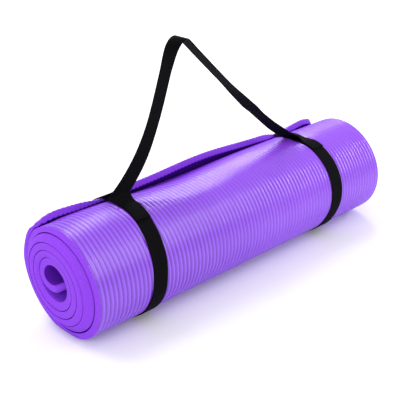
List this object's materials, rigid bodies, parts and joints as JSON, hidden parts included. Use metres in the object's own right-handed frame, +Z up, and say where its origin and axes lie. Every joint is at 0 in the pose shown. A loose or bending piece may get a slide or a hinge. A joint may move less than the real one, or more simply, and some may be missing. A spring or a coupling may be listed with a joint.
{
  "type": "rolled exercise mat",
  "caption": "Thick ribbed foam exercise mat rolled up and held by a webbing strap whose two loops are joined by a carry handle.",
  "frame": {"origin": "on the floor under the middle of the roll, on the flat the roll rests on", "axes": "+X along the roll towards the rear loop, +Z up, -Y towards the side from which the mat's cut edge is seen"},
  "size_m": [0.61, 0.1723, 0.3722],
  "materials": {
    "mat_foam": "soft satin closed-cell foam",
    "webbing": "matte woven webbing",
    "thread": "matte thread"
  },
  "bodies": {
    "mat": {"mat": "mat_foam"},
    "strap_loops": {"front_loop": "webbing", "rear_loop": "webbing", "front_lap_stitching": "thread", "rear_lap_stitching": "thread"},
    "handle_lower": {"front_handle_leg": "webbing", "rear_handle_leg": "webbing"},
    "handle_upper": {"handle_top": "webbing"}
  },
  "joints": [
    {"name": "strap_slide", "type": "slide", "parent": "mat", "child": "strap_loops", "axis": [1, 0, 0], "range_m": [-0.075, 0.075]},
    {"name": "handle_swing", "type": "hinge", "parent": "strap_loops", "child": "handle_lower", "pos_m": [0, 0.008, 0.1701], "axis": [1, 0, 0], "range_deg": [-72, 78]},
    {"name": "handle_drape", "type": "hinge", "parent": "handle_lower", "child": "handle_upper", "pos_m": [0, 0.008, 0.252], "axis": [1, 0, 0], "range_deg": [-80, 82]}
  ]
}
